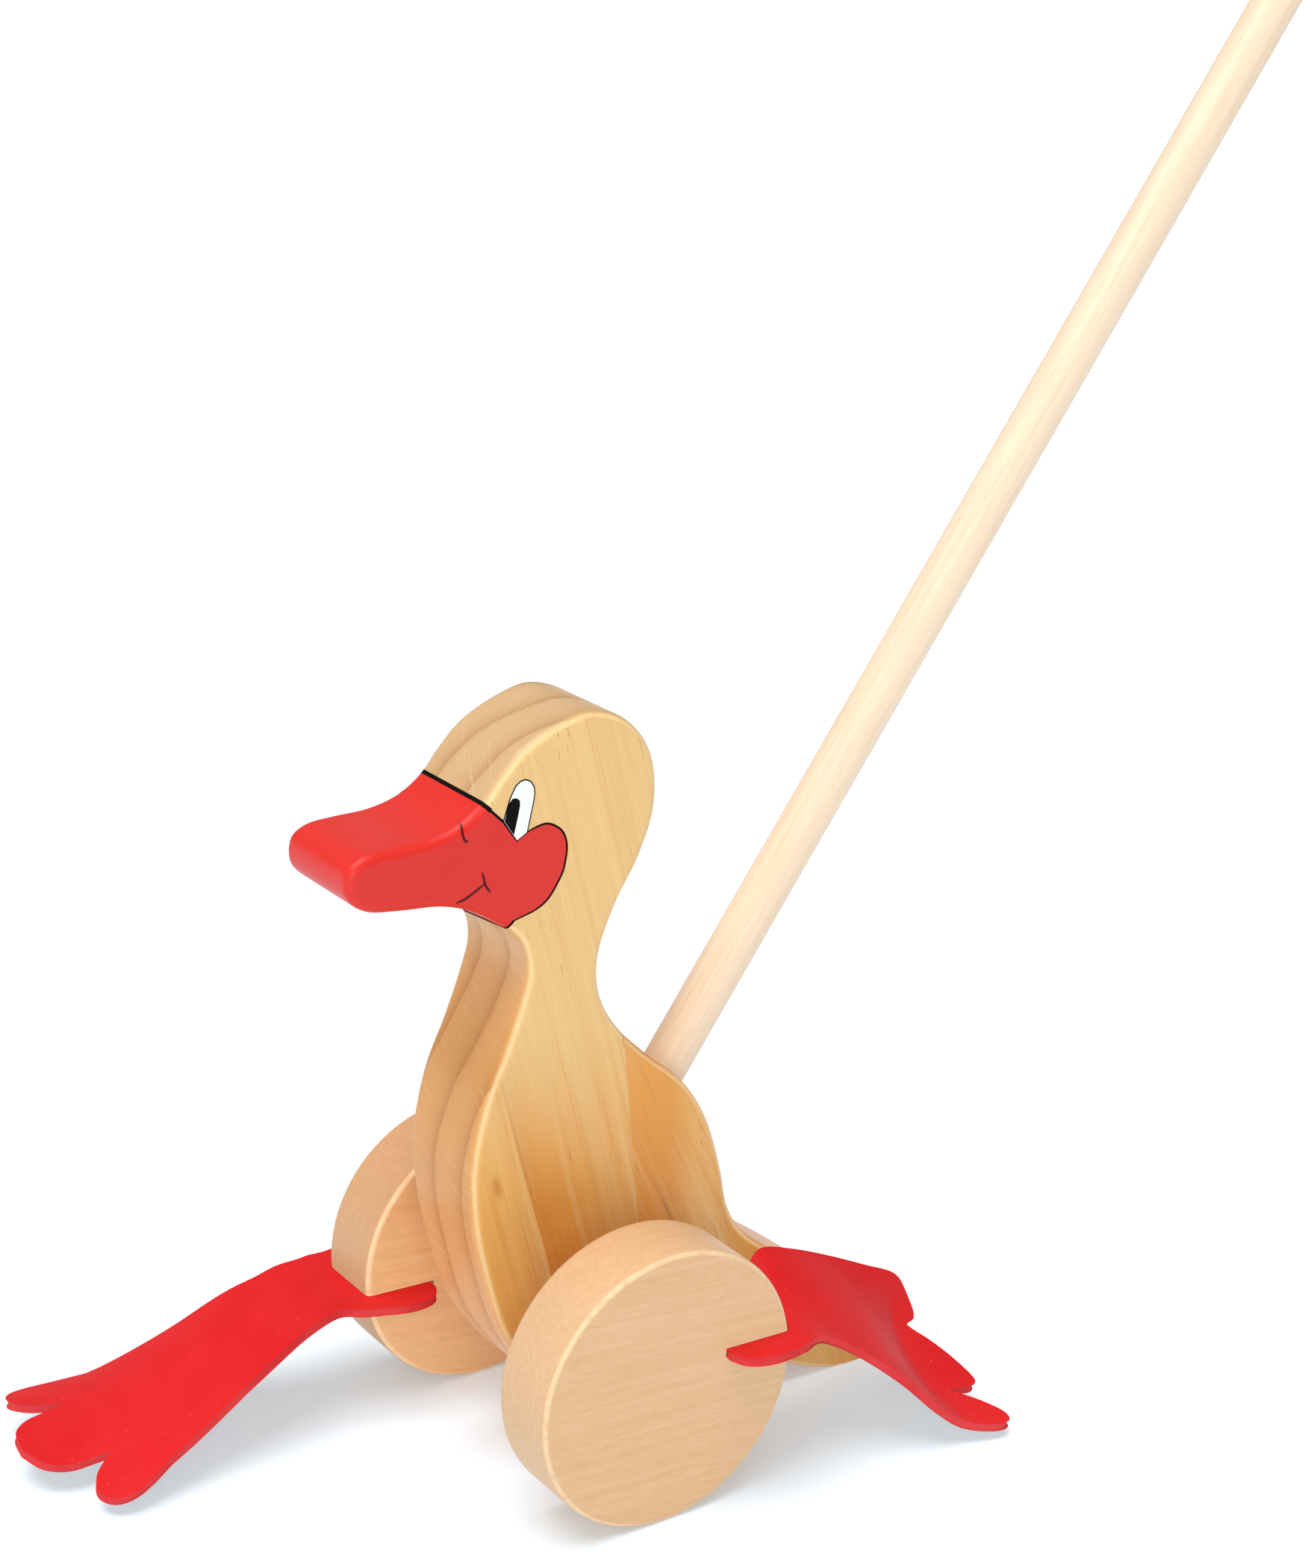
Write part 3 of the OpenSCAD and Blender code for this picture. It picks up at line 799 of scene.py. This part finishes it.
def face_paint(name, sign):
    """The eye, the red's border and the small lines on one face of the head."""
    layers = Layers()
    y = sign * HALF_T

    def line(points, width, index):
        spots, ups = zip(*(skin(p, sign) for p in points))
        layers.strip(spots, ups, tapered(len(spots), width), index)

    layers.patch(grown(on_face(EYE), EYE_LINE), y, sign, EYE_LINE_LIFT, BLACK)
    layers.patch(on_face(EYE), y, sign, EYE_LIFT, WHITE)
    layers.patch(on_face(PUPIL), y, sign, PUPIL_LIFT, BLACK)
    border = border_at(y)
    corner = min(range(len(border)), key=lambda i: (border[i] - on_face(BROW)[-1]).length)
    # Both ends of the border run on over the rounded edge
    side = 0 if sign > 0 else 1
    brow, throat = [over_rim(ends[side]) for ends in (BROW_T, THROAT_T)]
    line(brow[::-1] + border[:corner + 1], BROW_LINE, BLACK)
    line(border[corner:] + throat, CHEEK_LINE, BLACK)
    for stroke in (NOSTRIL, SMILE, TICK):
        line(on_face(stroke, LINE_STEPS), SMALL_LINE, DARK_RED)
    materials = [line_black, eye_white, line_red]
    join(name, layers.verts, layers.faces, materials, layers.indices, "body")


face_paint("face_paint_left", 1)
face_paint("face_paint_right", -1)

# The lines that part the red from the wood run over the edges of the head, from face to face
BROW_EDGE_LINE = 1.05
THROAT_EDGE_LINE = 0.6
EDGE_LINE_STEPS = 8
edge_lines = Layers()
for ends, width in ((BROW_T, BROW_EDGE_LINE), (THROAT_T, THROAT_EDGE_LINE)):
    spots, ups = [], []
    for inset, y in edge_rings(HALF_T, BODY_EDGE_R, EDGE_LINE_STEPS):
        t = ends[0] + (ends[1] - ends[0]) * (HALF_T - y) / BODY_T
        p = outline(t) - inset * outward(t) + AXLE_UP
        out = (BODY_EDGE_R - inset) / BODY_EDGE_R
        across = math.copysign(math.sqrt(max(0.0, 1 - out * out)), y)
        spots.append(Vector((p[0], y, p[1])))
        ups.append(Vector((outward(t)[0] * out, across, outward(t)[1] * out)))
    edge_lines.strip(spots, ups, [width] * len(spots), 0)
join("edge_lines", edge_lines.verts, edge_lines.faces, [line_black], edge_lines.indices, "body")


# Turned pieces

ROUND_STEPS = 72
HIDDEN_ROUND_STEPS = 48
CHAMFER_STEPS = 4
BALL_STEPS = 32
BALL_POLE = 0.02


def turned(name, profile, foot, axis, body, nodes, segments=ROUND_STEPS):
    """A piece turned about an axis: profile gives radius and height from its foot."""
    turn = Vector(axis).to_track_quat("Z", "Y").to_matrix()
    verts, faces = [], []
    n = segments
    for r, h in profile:
        for i in range(n):
            a = 2 * math.pi * i / n
            verts.append(Vector(foot) + turn @ Vector((r * math.cos(a), r * math.sin(a), h)))
    for k in range(len(profile) - 1):
        for i in range(n):
            j = (i + 1) % n
            faces.append((k * n + i, k * n + j, (k + 1) * n + j, (k + 1) * n + i))
    faces.append(list(range(n)))
    faces.append(list(range((len(profile) - 1) * n, len(profile) * n)))
    join(name, verts, faces, [stick_wood], [0] * len(faces), body, nodes)


def dowel_profile(d, length):
    """Radius and height along a round bar with softened ends."""
    r = d / 2
    low = []
    for i in range(CHAMFER_STEPS + 1):
        a = math.pi / 2 * i / CHAMFER_STEPS
        low.append((r - CHAMFER + CHAMFER * math.sin(a), CHAMFER * (1 - math.cos(a))))
    return low + [(r, length / 3), (r, 2 * length / 3)] + [(q, length - h) for q, h in reversed(low)]


stick_axis = Vector((-math.cos(STICK_ANGLE), 0, math.sin(STICK_ANGLE)))
stick_foot = STICK_FOOT + Vector((0, 0, AXLE_Z)) - STICK_SEAT * stick_axis
turned("stick", dowel_profile(STICK_D, STICK_L), stick_foot, stick_axis, "body", ["push_stick"])
ball_foot = stick_foot + (STICK_L - BALL_SEAT) * stick_axis
ball_r = BALL_D / 2
mouth = math.asin((STICK_D / 2 + GLUE_GAP) / ball_r)
ball_profile = []
for i in range(BALL_STEPS + 1):
    a = mouth + (math.pi - BALL_POLE - mouth) * i / BALL_STEPS
    ball_profile.append((ball_r * math.sin(a), ball_r * (1 - math.cos(a))))
turned("ball", ball_profile, ball_foot, stick_axis, "body", ["handle_ball"])
axle_half = WHEEL_Y - WHEEL_T / 2 + AXLE_SEAT
axle_foot = Vector((0, -axle_half, AXLE_Z))
axle_profile = dowel_profile(AXLE_D, 2 * axle_half)
turned("axle_rod", axle_profile, axle_foot, (0, 1, 0), "wheelset", ["axle"], HIDDEN_ROUND_STEPS)
for side, word in ((1, "left"), (-1, "right")):
    foot_at = Vector((0, side * (HALF_T + END_PLAY), AXLE_Z))
    profile = dowel_profile(SPACER_D, WHEEL_GAP - END_PLAY)
    nodes = ["spacer_" + word]
    turned("sleeve_" + word, profile, foot_at, (0, side, 0), "wheelset", nodes, HIDDEN_ROUND_STEPS)


# Wheels: discs with a slot that opens forward on the right and backward on the left

WHEEL_STEPS = 120
WHEEL_EDGE_STEPS = 4
SLOT_ROOM = 1


def phased(x, y, z):
    """From the wheelset's own frame to the part's: its turn at rest, at the axle's height."""
    c, s = math.cos(WHEEL_PHASE), math.sin(WHEEL_PHASE)
    return Vector((x * c - z * s, y, x * s + z * c + AXLE_Z))


def wheel(name, side, node, wood):
    """A slotted disc. The left one stands half a turn on from the right one."""
    r = WHEEL_D / 2
    half_slot = FOOT_T / 2 + GLUE_GAP
    low, high = -SLOT_OFFSET - half_slot, -SLOT_OFFSET + half_slot
    first, last = math.asin(high / r), math.asin(low / r) + 2 * math.pi
    rim = []
    for i in range(WHEEL_STEPS + 1):
        a = first + (last - first) * i / WHEEL_STEPS
        rim.append((Vector((r * math.cos(a), r * math.sin(a))), Vector((math.cos(a), math.sin(a)))))
    # At the slot's mouth the rounded edge is drawn in along the slot's walls
    rim[0] = (rim[0][0], Vector((1 / math.cos(first), 0)))
    rim[-1] = (rim[-1][0], Vector((1 / math.cos(last), 0)))
    inner = [(Vector((SLOT_END - SLOT_ROOM, z)), Vector((0, 0))) for z in (low, high)]
    edge = rim + inner
    verts, faces, indices = board(lambda y: edge, WHEEL_T / 2, WHEEL_EDGE_R, WHEEL_EDGE_STEPS)
    placed = [phased(-side * x, side * WHEEL_Y + y, -side * z) for x, y, z in verts]
    join(name, placed, faces, [wood], indices, "wheelset", [node])


wheel("disc_left", 1, "wheel_left", left_beech)
wheel("disc_right", -1, "wheel_right", right_beech)


# Feet: webbed sheets that hang from the slots

# How the right foot hangs, in degrees against the share of its length past the fold
HANG_RISE = [(0, 0), (0.11, -15), (0.25, -26), (0.4, -28), (0.56, -23), (0.74, -14), (1, 4)]
HANG_TURN = [(0, 0), (0.34, 1), (0.67, 2), (1, 13)]
HANG_TWIST = [(0, 0), (0.17, -2), (0.39, -3), (0.67, -1), (1, 10)]
HANG_INNER = [(0, 0), (0.34, -6), (0.67, -8), (1, -7)]
HANG_OUTER = [(0, 0), (0.34, -12), (0.67, -18), (1, -15)]
# The left foot's inner edge, middle line and outer edge past the slot: length along the sheet, then place
LEFT_INNER = [
    (25, -41.5, 26, 44), (33, -47, 23.5, 47.5), (45, -58, 22.5, 44), (60, -71, 21, 38),
    (75, -84.5, 20.5, 31.5), (88, -94.5, 20, 26.5), (112, -101, 21, 19),
]
LEFT_MIDDLE = [
    (25, -41.5, 40.5, 41.5), (33, -48.5, 38.5, 41), (45, -59, 38.5, 36.5), (60, -70.5, 39.5, 28.5),
    (75, -79.5, 39, 19.5), (88, -86.5, 37.5, 13), (112, -101.5, 43, 7),
]
LEFT_OUTER = [
    (25, -40.5, 56, 40), (33, -47.5, 53, 36.5), (45, -57, 54.5, 30.5), (60, -68, 58.5, 21.5),
    (75, -78, 61.5, 11.5), (88, -88, 63.5, 5), (112, -109, 72.5, 2),
]
# The guide lines start at this length along the sheet, where the slot still holds it
HELD_S = 12.0
GUIDE_STEPS = 8
SLOPE_S = 1.5
SLOPE_T = 0.05


def lookup(d, table):
    """An angle from one of the hang's tables, at a length past the fold."""
    share = d / HANG_L
    if share <= table[0][0]:
        return math.radians(table[0][1])
    for (d0, v0), (d1, v1) in zip(table, table[1:]):
        if share <= d1:
            return math.radians(v0 + (v1 - v0) * (share - d0) / (d1 - d0))
    return math.radians(table[-1][1])


def middle_line():
    """The middle of the hanging sheet past the fold, one point for each millimetre."""
    line = [Vector((0, 0, 0))]
    for i in range(int(FOOT_L) + 2):
        a, b = lookup(i + 0.5, HANG_RISE), lookup(i + 0.5, HANG_TURN)
        line.append(line[-1] + Vector((math.cos(a) * math.cos(b), math.cos(a) * math.sin(b), math.sin(a))))
    return line


MIDDLE = middle_line()


def hung_point(s, v, lift, side):
    """A point of the hanging sheet, whose inner and outer halves curl by their own amounts."""
    d = max(s - FOLD_S, 0.0)
    i = int(d)
    a, b = lookup(d, HANG_RISE), lookup(d, HANG_TURN)
    curl = lookup(d, HANG_INNER if side * v < 0 else HANG_OUTER) * 2 * v / WEB_W
    lean = lookup(d, HANG_TWIST) - curl / 2
    tip = lean - curl / 2
    across = Vector((-math.sin(b), math.cos(b), 0))
    up = Vector((-math.sin(a) * math.cos(b), -math.sin(a) * math.sin(b), math.cos(a)))
    spot = Vector((min(s, FOLD_S), 0, 0)) + MIDDLE[i].lerp(MIDDLE[i + 1], d - i)
    spot += (v * math.cos(lean) + lift * math.sin(tip)) * across
    return spot + (lift * math.cos(tip) - v * math.sin(lean)) * up


def web_half(k):
    return (NECK_W + k * (WEB_W - NECK_W)) / 2


# Half of the flat sheet's outline: length along the sheet and half width up to the toes
SIDE_LINE = open_curve([
    (0, 0.35 * LOBE_W), (0.1 * SLOT_DEPTH, 0.445 * LOBE_W), (0.32 * SLOT_DEPTH, 0.495 * LOBE_W),
    (0.58 * SLOT_DEPTH, 0.5 * LOBE_W), (0.87 * SLOT_DEPTH, 0.467 * LOBE_W),
    (1.13 * SLOT_DEPTH, (LOBE_W + NECK_W) / 4), (FOLD_S + 0.02 * HANG_L, NECK_W / 2),
    (FOLD_S + 0.12 * HANG_L, web_half(0.16)), (FOLD_S + 0.26 * HANG_L, web_half(0.4)),
    (FOLD_S + 0.48 * HANG_L, web_half(0.66)), (FOOT_L - TOE_ZONE, web_half(0.92)),
], 5)
# The toes: share of the half width, and length along the sheet
SIDE_L = FOOT_L - TOE_STEP
TOE_LINE = open_curve([
    (0, FOOT_L), (0.2, FOOT_L - 0.11 * NOTCH_L), (0.33, FOOT_L - 0.39 * NOTCH_L),
    (0.385, FOOT_L - 0.72 * NOTCH_L), (0.445, FOOT_L - NOTCH_L), (0.51, FOOT_L - 0.83 * NOTCH_L),
    (0.6, SIDE_L - 0.12 * NOTCH_L), (0.74, SIDE_L), (0.89, SIDE_L - 0.13 * NOTCH_L),
    (0.975, SIDE_L - 0.42 * NOTCH_L), (1, SIDE_L - 0.78 * NOTCH_L),
], 4)
COLUMNS = [(-p[0], p[1]) for p in reversed(TOE_LINE[1:])] + [(p[0], p[1]) for p in TOE_LINE]
TOE_ROWS = 10


def flat_point(row, column):
    """A point of the sheet before it hangs, as length and place across."""
    n = len(SIDE_LINE) - 1
    start = SIDE_LINE[n]
    if row <= n:
        s, w = SIDE_LINE[row]
    else:
        s = start[0] + (column[1] - start[0]) * (row - n) / TOE_ROWS
        w = start[1] + TOE_SPREAD * (s - start[0])
    return Vector((s, column[0] * w))


def along_line(line, s):
    """The place on a densely drawn line at a length along the sheet."""
    for low, high in zip(line, line[1:]):
        if s <= high[0]:
            share = (s - low[0]) / (high[0] - low[0])
            return low.yzw.lerp(high.yzw, share)
    return line[-1].yzw


def half_width(s):
    """Half of the sheet's width at a length along it."""
    for low, high in zip(SIDE_LINE, SIDE_LINE[1:]):
        if s <= high[0]:
            return low[1] + (high[1] - low[1]) * (s - low[0]) / (high[0] - low[0])
    return SIDE_LINE[-1][1] + TOE_SPREAD * (s - SIDE_LINE[-1][0])


# On the right foot the outer edge runs almost straight past the neck
NECK_FILL = 2.4
FILL_START = 0.9 * SLOT_DEPTH
FILL_END = FOLD_S + 0.16 * HANG_L


def filled_neck(p):
    share = (p[0] - FILL_START) / (FILL_END - FILL_START)
    swell = math.sin(math.pi * share) ** 2 if 0 < share < 1 and p[1] < 0 else 0.0
    return Vector((p[0], p[1] * (1 + NECK_FILL * swell / half_width(p[0]))))


def hung_place(p, lift, side):
    """From the flat sheet to the part's frame, for a foot that hangs freely from its slot."""
    q = hung_point(p[0], p[1], lift, side)
    pivot = SLOT_DEPTH / 2
    reach = q[0] - pivot
    x = pivot + reach * math.cos(FOOT_YAW) - side * q[1] * math.sin(FOOT_YAW)
    y = side * reach * math.sin(FOOT_YAW) + q[1] * math.cos(FOOT_YAW)
    return phased(*Vector((-side * (SLOT_END + x), side * WHEEL_Y + y, side * SLOT_OFFSET + q[2])))


def guide_lines(guides, side):
    """Smooth lines through the guides, begun where the slot holds the sheet."""
    lines = []
    for t, guide in zip((-1, 0, 1), guides):
        held = [(s, *hung_place((s, t * half_width(s)), 0.0, side)) for s in (HELD_S, SLOT_DEPTH)]
        lines.append(open_curve(held + guide, GUIDE_STEPS))
    return lines


def drape(s, t, lines):
    """A point between the guide lines, with t from -1 on the inner edge to 1 on the outer one."""
    inner, centre, outer = [along_line(line, s) for line in lines]
    return centre + t * (outer - inner) / 2 + t * t * ((outer + inner) / 2 - centre)


def draped_place(p, lift, side, lines):
    """From the flat sheet to the part's frame, for a foot that lies on guide lines past its slot."""
    s = p[0]
    if s <= SLOT_DEPTH:
        return hung_place(p, lift, side)
    t = p[1] / half_width(s)
    ahead = drape(min(s + SLOPE_S, FOOT_L), t, lines) - drape(max(s - SLOPE_S, HELD_S), t, lines)
    across = drape(s, t + SLOPE_T, lines) - drape(s, t - SLOPE_T, lines)
    return drape(s, t, lines) + lift * across.cross(ahead).normalized()


# How far the sheet's corners are rounded, and the first step of that rounding
CUT_SOFT = 0.45
CUT_INSET = 0.1
CUT_STEP = 0.12


def rubber_foot(name, side, node, guides=None):
    """A foot cut from sheet rubber, hung from its slot or laid on guide lines."""
    rows, wide = len(SIDE_LINE) + TOE_ROWS, len(COLUMNS)
    flat = [[flat_point(r, c) for c in COLUMNS] for r in range(rows)]
    if guides:
        lines = guide_lines(guides, side)
    else:
        flat = [[filled_neck(p) for p in row] for row in flat]

    def place(p, lift):
        return draped_place(p, lift, side, lines) if guides else hung_place(p, lift, side)

    # The cut edge all round the sheet, and the way inwards at each of its points
    ring = [(0, c) for c in range(wide)] + [(r, wide - 1) for r in range(1, rows)]
    ring += [(rows - 1, c) for c in range(wide - 2, -1, -1)] + [(r, 0) for r in range(rows - 2, 0, -1)]
    inward = {}
    for i, (r, c) in enumerate(ring):
        before, after = ring[i - 1], ring[(i + 1) % len(ring)]
        along = flat[after[0]][after[1]] - flat[before[0]][before[1]]
        inward[(r, c)] = Vector((-along[1], along[0])).normalized()
    verts, faces = [], []
    half = FOOT_T / 2
    for lift in (-half, half):
        for r in range(rows):
            for c in range(wide):
                p = flat[r][c] + CUT_SOFT * inward.get((r, c), Vector((0, 0)))
                verts.append(place(p, lift))
    upper = rows * wide
    for r in range(rows - 1):
        for c in range(wide - 1):
            a = r * wide + c
            faces.append((a, a + 1, a + wide + 1, a + wide))
            faces.append((upper + a, upper + a + 1, upper + a + wide + 1, upper + a + wide))
    skins = len(faces)
    loops = [[r * wide + c for r, c in ring]]
    for depth, lift in ((CUT_INSET, -half + CUT_STEP), (0.0, -half + CUT_SOFT),
                        (0.0, half - CUT_SOFT), (CUT_INSET, half - CUT_STEP)):
        start = len(verts)
        verts.extend(place(flat[r][c] + depth * CUT_SOFT * inward[(r, c)], lift) for r, c in ring)
        loops.append(list(range(start, start + len(ring))))
    loops.append([upper + r * wide + c for r, c in ring])
    for low, high in zip(loops, loops[1:]):
        for i in range(len(ring)):
            j = (i + 1) % len(ring)
            faces.append((low[i], low[j], high[j], high[i]))
    # The sheet's cut edge is duller and paler than its skin
    indices = [0] * skins + [1] * (len(faces) - skins)
    materials = [foot_rubber, cut_rubber]
    return join(name, verts, faces, materials, indices, "wheelset", [node], SHEET_SHARP_ANGLE)


webs = [
    rubber_foot("web_left", 1, "foot_left", [LEFT_INNER, LEFT_MIDDLE, LEFT_OUTER]),
    rubber_foot("web_right", -1, "foot_right"),
]
# The red sheets don't tint the floor
for web in webs:
    web.visible_diffuse = False


# Floor, light and camera

FLOOR_HALF = 30.0
FLOOR_TONES = ((0.69, 0.78, 0.86), (0.71, 0.8, 0.88))
FLOOR_GLOW = 0.22
WORLD_LIGHT = 0.4


def floor():
    """A large pale floor that glows a little, so that it runs into the white backdrop."""
    mesh = bpy.data.meshes.new("floor")
    corners = [(x * FLOOR_HALF, y * FLOOR_HALF, 0) for x, y in ((-1, -1), (1, -1), (1, 1), (-1, 1))]
    mesh.from_pydata(corners, [], [(0, 1, 2, 3)])
    g = Graph("floor")
    fleck = g.noise(g.node("ShaderNodeTexCoord").outputs["Object"], 2.0, 0.5, 4.0)
    g.finish(
        base_color=g.mix(fleck, *FLOOR_TONES), roughness=0.9, specular_ior_level=0.0,
        emission_color=(1.0, 1.0, 1.0, 1.0), emission_strength=FLOOR_GLOW,
    )
    mesh.materials.append(g.material)
    obj = bpy.data.objects.new("floor", mesh)
    bpy.context.scene.collection.objects.link(obj)


def backdrop():
    """A world that looks white while it lights the duck only softly."""
    world = bpy.data.worlds.new("studio")
    world.use_nodes = True
    tree = world.node_tree
    background = tree.nodes["Background"]
    background.inputs[0].default_value = (1.0, 1.0, 1.0, 1.0)
    seen = tree.nodes.new("ShaderNodeLightPath").outputs["Is Camera Ray"]
    strength = tree.nodes.new("ShaderNodeMapRange")
    strength.inputs["To Min"].default_value = WORLD_LIGHT
    strength.inputs["To Max"].default_value = 1.0
    tree.links.new(seen, strength.inputs["Value"])
    tree.links.new(strength.outputs[0], background.inputs[1])
    bpy.context.scene.world = world


def area_light(name, place, target, size, watts, colour):
    data = bpy.data.lights.new(name, "AREA")
    data.shape = "DISK"
    data.size = size
    data.energy = watts
    data.color = colour
    obj = bpy.data.objects.new(name, data)
    obj.location = place
    obj.rotation_euler = (Vector(target) - Vector(place)).to_track_quat("-Z", "Y").to_euler()
    bpy.context.scene.collection.objects.link(obj)


def sun_light(name, way, strength, angle):
    data = bpy.data.lights.new(name, "SUN")
    data.energy = strength
    data.angle = angle
    obj = bpy.data.objects.new(name, data)
    obj.rotation_euler = (-Vector(way)).to_track_quat("-Z", "Y").to_euler()
    bpy.context.scene.collection.objects.link(obj)


floor()
backdrop()
sun_light("over", way=(0.25, 0.05, 1.0), strength=2.4, angle=math.radians(45))
area_light(
    "front", place=(0.95, 1.4, 0.75), target=(0, 0, 0.1), size=1.3, watts=10.0, colour=(1.0, 0.99, 0.98),
)
area_light(
    "breast", place=(1.3, 0.5, 0.5), target=(0, 0, 0.06), size=0.9, watts=1.2, colour=(1.0, 0.98, 0.95),
)
bpy.context.scene.view_settings.view_transform = "Standard"

# The camera, fitted to the photo's two wheels
CAMERA_PLACE = (0.357315, 0.536713, 0.387601)
CAMERA_RIGHT = (-0.82095263, 0.56987015, 0.03584401)
CAMERA_UP = (-0.15110955, -0.27736638, 0.94880651)
CAMERA_BACK = (0.55063843, 0.77350883, 0.31381748)
SENSOR_HEIGHT = 36.0
FOCAL_LENGTH = 65.525
lens = bpy.data.cameras.new("camera")
lens.sensor_fit = "VERTICAL"
lens.sensor_height = SENSOR_HEIGHT
lens.lens = FOCAL_LENGTH
camera = bpy.data.objects.new("camera", lens)
camera_turn = Matrix((CAMERA_RIGHT, CAMERA_UP, CAMERA_BACK)).transposed().to_4x4()
camera.matrix_world = Matrix.Translation(CAMERA_PLACE) @ camera_turn
bpy.context.scene.collection.objects.link(camera)
bpy.context.scene.camera = camera
